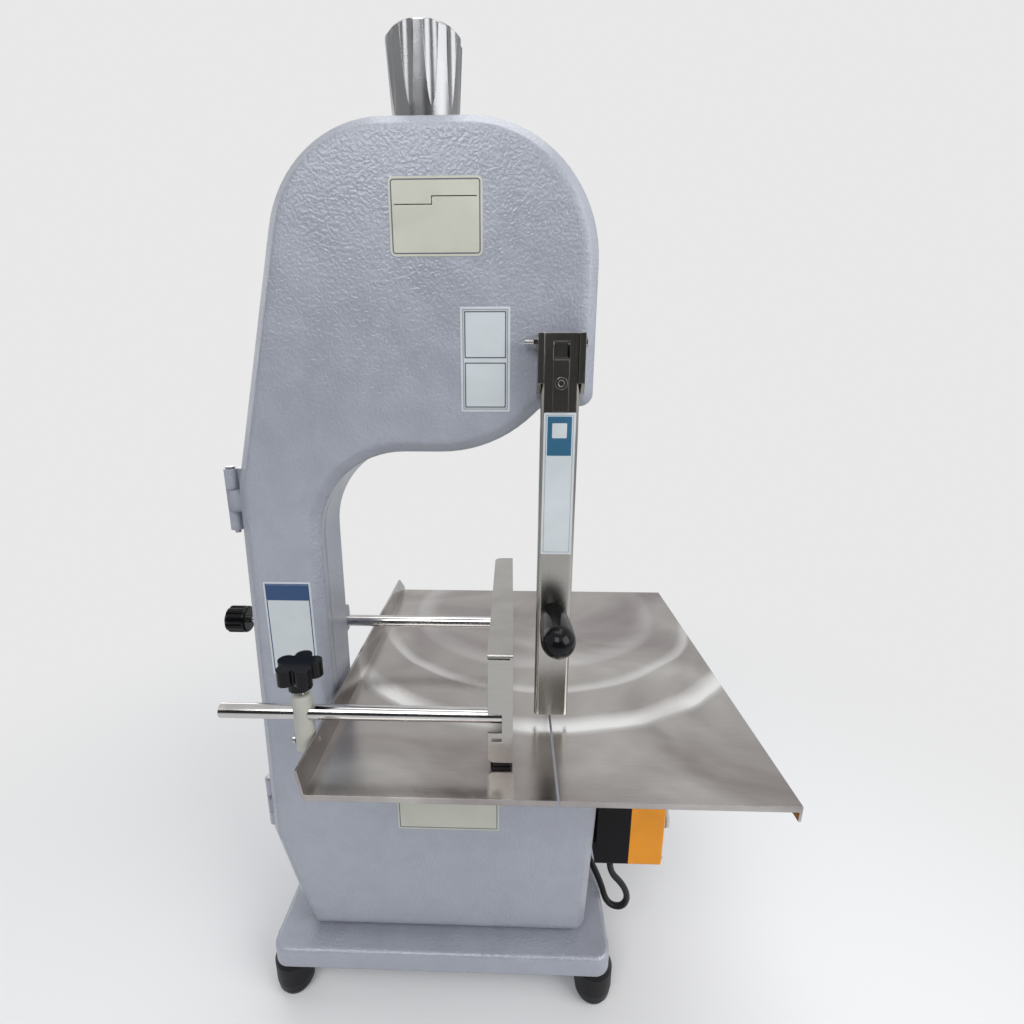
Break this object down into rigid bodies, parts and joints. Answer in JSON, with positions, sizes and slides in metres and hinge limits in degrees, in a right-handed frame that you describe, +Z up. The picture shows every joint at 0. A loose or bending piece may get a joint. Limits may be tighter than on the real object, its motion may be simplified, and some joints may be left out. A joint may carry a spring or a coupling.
{
  "type": "bone saw",
  "caption": "Tabletop band saw for bone and frozen meat: C-shaped cast body, hinged door, sliding blade guard, folded stainless table and a fence on rods.",
  "frame": {"origin": "middle of the footprint, on the floor under the feet", "axes": "+Z up, the operator stands on the -Y side, +X to the operator's right"},
  "size_m": [0.522, 0.382, 0.89],
  "materials": {
    "paint": "light grey hammertone enamel, orange-peel texture",
    "stainless": "satin stainless sheet with faint wiping marks",
    "steel": "machined or zinc-plated steel",
    "bright": "bright ground or plated steel",
    "cast_alloy": "die-cast aluminium, shot-blasted",
    "knob_grey": "silver-grey moulded plastic with a slight metallic sheen",
    "black_plastic": "glossy black phenolic plastic",
    "black_matte": "matte black moulded plastic",
    "nylon": "natural cream-white nylon",
    "amber": "amber moulded plastic",
    "button_grey": "light grey moulded plastic",
    "button_red": "red moulded plastic",
    "rubber": "black moulded rubber",
    "cord": "black PVC sheath",
    "plate": "blank printed film, cream and blue fields",
    "winding": "enamelled copper wire and laminated steel",
    "cast_iron": "grey cast iron, machined rim"
  },
  "bodies": {
    "machine": {"base_plate": "paint", "rubber_feet": "rubber", "base_fasteners": "steel", "body_casting": "paint", "hinge_pins": "steel", "saw_blade": "steel", "blade_guides": "cast_alloy", "guide_rollers": "bright", "lower_scraper": "nylon", "carriage_rails": "steel", "carriage_cover": "paint", "cover_screws": "steel", "tension_bush": "bright", "motor_shields": "cast_alloy", "motor_bearings": "bright", "motor_housing": "cast_alloy", "motor_stator": "winding", "back_wall_bolts": "steel", "fan_cover": "black_matte", "terminal_box": "black_matte", "worktable": "stainless", "table_supports": "paint", "table_studs": "steel", "rod_post": "nylon", "rear_rod_lug": "paint", "switch_box_back": "black_matte", "switch_box_cover": "amber", "button_collars": "button_grey", "contact_blocks": "black_matte", "cable_glands": "black_matte", "switch_lead": "cord"},
    "tension_gear": {"tension_knob": "knob_grey", "tension_screw": "steel"},
    "carriage": {"tension_carriage": "cast_iron", "upper_axle": "steel", "upper_wheel_bearings": "bright", "upper_scraper": "nylon"},
    "upper_band_wheel": {"upper_wheel": "cast_iron"},
    "drive": {"lower_wheel": "cast_iron", "motor_shaft": "steel", "motor_rotor": "cast_iron", "cooling_fan": "black_matte"},
    "door": {"door": "paint", "guard_holder": "stainless", "holder_fasteners": "bright", "spring_clip": "bright", "door_plates": "plate"},
    "latch": {"latch_screw": "bright"},
    "guard": {"blade_guard": "stainless", "guard_strips": "stainless", "guard_fasteners": "bright", "guard_handle": "black_plastic", "guard_plate": "plate"},
    "fence": {"fence_plate": "stainless", "fence_rods": "bright", "rear_knob": "black_plastic", "fence_glides": "black_plastic"},
    "fence_lock": {"star_knob": "black_plastic"},
    "start": {"start_button": "button_grey"},
    "stop": {"stop_button": "button_red"}
  },
  "joints": [
    {"name": "door_swing", "type": "hinge", "parent": "machine", "child": "door", "pos_m": [-0.1935, -0.069, 0.38], "axis": [0, 0, -1], "range_deg": [0, 45]},
    {"name": "latch_turn", "type": "hinge", "parent": "door", "child": "latch", "pos_m": [0.148, -0.069, 0.3], "axis": [0, 1, 0], "range_deg": [0, 720]},
    {"name": "guard_slide", "type": "slide", "parent": "door", "child": "guard", "axis": [0, 0, 1], "range_m": [0, 0.185]},
    {"name": "fence_slide", "type": "slide", "parent": "machine", "child": "fence", "axis": [1, 0, 0], "range_m": [-0.128, 0.016]},
    {"name": "fence_lock_turn", "type": "hinge", "parent": "machine", "child": "fence_lock", "pos_m": [-0.1166, -0.1472, 0.41], "axis": [0, 0, 1], "range_deg": [0, 360]},
    {"name": "tension_knob_turn", "type": "hinge", "parent": "machine", "child": "tension_gear", "pos_m": [-0.02, -0.0345, 0.86], "axis": [0, 0, 1], "range_deg": [-730, 10]},
    {"name": "carriage_slide", "type": "slide", "parent": "machine", "child": "carriage", "axis": [0, 0, 1], "range_m": [-0.004, 0]},
    {"name": "upper_wheel_spin", "type": "hinge", "parent": "carriage", "child": "upper_band_wheel", "pos_m": [-0.02, -0.0565, 0.7027], "axis": [0, 1, 0], "continuous": true},
    {"name": "drive_spin", "type": "hinge", "parent": "machine", "child": "drive", "pos_m": [-0.02, -0.0565, 0.20876], "axis": [0, 1, 0], "continuous": true},
    {"name": "start_button_press", "type": "slide", "parent": "machine", "child": "start", "axis": [-1, 0, 0], "range_m": [0, 0.004], "stiffness_N_per_m": 400},
    {"name": "stop_button_press", "type": "slide", "parent": "machine", "child": "stop", "axis": [-1, 0, 0], "range_m": [0, 0.004], "stiffness_N_per_m": 400}
  ],
  "couplings": [
    {"joint": "tension_knob_turn", "follows": "carriage_slide", "rad_per_m": 3141.6},
    {"joint": "upper_wheel_spin", "follows": "drive_spin", "ratio": 1}
  ]
}
